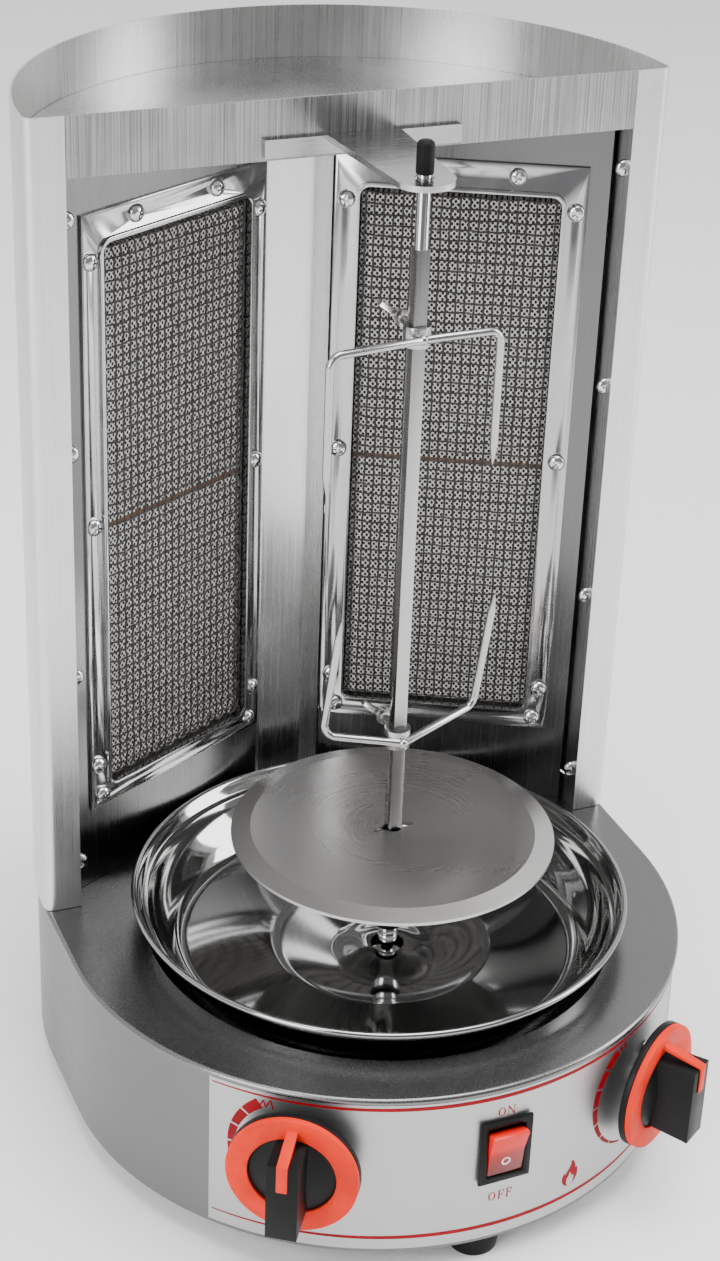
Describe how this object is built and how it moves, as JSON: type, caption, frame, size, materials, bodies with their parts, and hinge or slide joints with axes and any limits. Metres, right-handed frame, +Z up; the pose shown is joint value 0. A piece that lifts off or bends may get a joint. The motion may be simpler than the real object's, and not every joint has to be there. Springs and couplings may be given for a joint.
{
  "type": "vertical rotisserie broiler",
  "caption": "Tabletop gas rotisserie broiler: half-round shell with upright ceramic burners in a V, turning spit with meat disc and forks, drip pan, round base with knobs and switch.",
  "frame": {"origin": "centre of the footprint's bounding box at table level", "axes": "+Z up, the front with the knobs faces -Y, +X is the viewer's right"},
  "size_m": [0.297, 0.3716, 0.4846],
  "materials": {
    "brushed_steel": "satin brushed stainless sheet",
    "bright_steel": "polished stainless steel",
    "chrome": "bright plated",
    "label_silver": "satin silver sheet",
    "mesh_wire": "dark woven wire",
    "burner_ceramic": "matt porous",
    "brass": "machined",
    "pipe_aluminium": "drawn tube",
    "motor_paint": "satin paint",
    "black_rubber": "matt",
    "black_plastic": "satin moulded",
    "orange_red_plastic": "satin moulded",
    "stem_steel": "turned",
    "red_translucent": "clear tinted moulding"
  },
  "bodies": {
    "housing": {"base_skirt": "brushed_steel", "base_bottom_plate": "brushed_steel", "deck_plate": "brushed_steel", "rear_shell": "brushed_steel", "top_tray": "brushed_steel", "spit_bracket": "brushed_steel", "left_reflector_panel": "brushed_steel", "right_reflector_panel": "brushed_steel", "centre_strip": "brushed_steel", "left_burner_housing": "brushed_steel", "right_burner_housing": "brushed_steel", "motor_bracket": "brushed_steel", "left_burner_frame": "bright_steel", "right_burner_frame": "bright_steel", "venturi_tubes": "bright_steel", "left_burner_screws": "chrome", "right_burner_screws": "chrome", "post_screws": "chrome", "foot_screws": "chrome", "motor_screws": "chrome", "valve_eyelets": "chrome", "control_label": "label_silver", "left_burner_mesh": "mesh_wire", "right_burner_mesh": "mesh_wire", "left_ceramic_tiles": "burner_ceramic", "right_ceramic_tiles": "burner_ceramic", "left_gas_valve": "brass", "right_gas_valve": "brass", "gas_injectors": "brass", "gas_inlet": "brass", "shaft_bush": "brass", "left_burner_pipe": "pipe_aluminium", "right_burner_pipe": "pipe_aluminium", "gas_manifold": "pipe_aluminium", "drive_motor": "motor_paint", "rubber_feet": "black_rubber", "switch_bezel": "black_plastic", "cable_gland": "black_plastic"},
    "drive": {"drive_shaft": "bright_steel", "drive_coupling": "chrome", "drive_washer": "black_rubber"},
    "spit": {"spit_rod": "bright_steel", "spit_cap": "chrome", "meat_disc": "brushed_steel", "disc_hub": "bright_steel"},
    "upper_fork_body": {"upper_fork": "bright_steel"},
    "upper_wing_body": {"upper_wing_screw": "bright_steel"},
    "lower_fork_body": {"lower_fork": "bright_steel"},
    "lower_wing_body": {"lower_wing_screw": "bright_steel"},
    "pan": {"drip_pan": "bright_steel"},
    "left_plunger": {"left_valve_plunger": "brass"},
    "left_knob_body": {"left_knob": "black_plastic", "left_knob_ring": "orange_red_plastic", "left_knob_stem": "stem_steel"},
    "right_plunger": {"right_valve_plunger": "brass"},
    "right_knob_body": {"right_knob": "black_plastic", "right_knob_ring": "orange_red_plastic", "right_knob_stem": "stem_steel"},
    "rocker": {"switch_rocker": "red_translucent"}
  },
  "joints": [
    {"name": "drive_spin", "type": "hinge", "parent": "housing", "child": "drive", "pos_m": [0, -0.05259, 0.1], "axis": [0, 0, 1], "continuous": true},
    {"name": "spit_lift", "type": "slide", "parent": "drive", "child": "spit", "axis": [0, 0, 1], "range_m": [0, 0.025]},
    {"name": "upper_fork_slide", "type": "slide", "parent": "spit", "child": "upper_fork_body", "axis": [0, 0, 1], "range_m": [-0.03, 0.02]},
    {"name": "upper_wing_turn", "type": "hinge", "parent": "upper_fork_body", "child": "upper_wing_body", "pos_m": [0, -0.04259, 0.4019], "axis": [0, 1, 0], "range_deg": [0, 720]},
    {"name": "lower_fork_slide", "type": "slide", "parent": "spit", "child": "lower_fork_body", "axis": [0, 0, 1], "range_m": [-0.036, 0.035]},
    {"name": "lower_wing_turn", "type": "hinge", "parent": "lower_fork_body", "child": "lower_wing_body", "pos_m": [0, -0.04259, 0.2075], "axis": [0, 1, 0], "range_deg": [0, 720]},
    {"name": "pan_lift", "type": "slide", "parent": "housing", "child": "pan", "axis": [0, 0, 1], "range_m": [0, 0.02]},
    {"name": "rocker_tilt", "type": "hinge", "parent": "housing", "child": "rocker", "pos_m": [0.00444, -0.18072, 0.065], "axis": [0.9996, 0.0297, 0], "range_deg": [-24, 0]},
    {"name": "left_knob_push", "type": "slide", "parent": "housing", "child": "left_plunger", "axis": [0.5614, 0.8276, 0], "range_m": [0, 0.003], "stiffness_N_per_m": 1500, "springref_m": -0.001},
    {"name": "left_knob_turn", "type": "hinge", "parent": "left_plunger", "child": "left_knob_body", "pos_m": [-0.08252, -0.15264, 0.065], "axis": [-0.5614, -0.8276, 0], "range_deg": [0, 210]},
    {"name": "right_knob_push", "type": "slide", "parent": "housing", "child": "right_plunger", "axis": [-0.5614, 0.8276, 0], "range_m": [0, 0.003], "stiffness_N_per_m": 1500, "springref_m": -0.001},
    {"name": "right_knob_turn", "type": "hinge", "parent": "right_plunger", "child": "right_knob_body", "pos_m": [0.08252, -0.15264, 0.065], "axis": [0.5614, -0.8276, 0], "range_deg": [0, 210]}
  ]
}
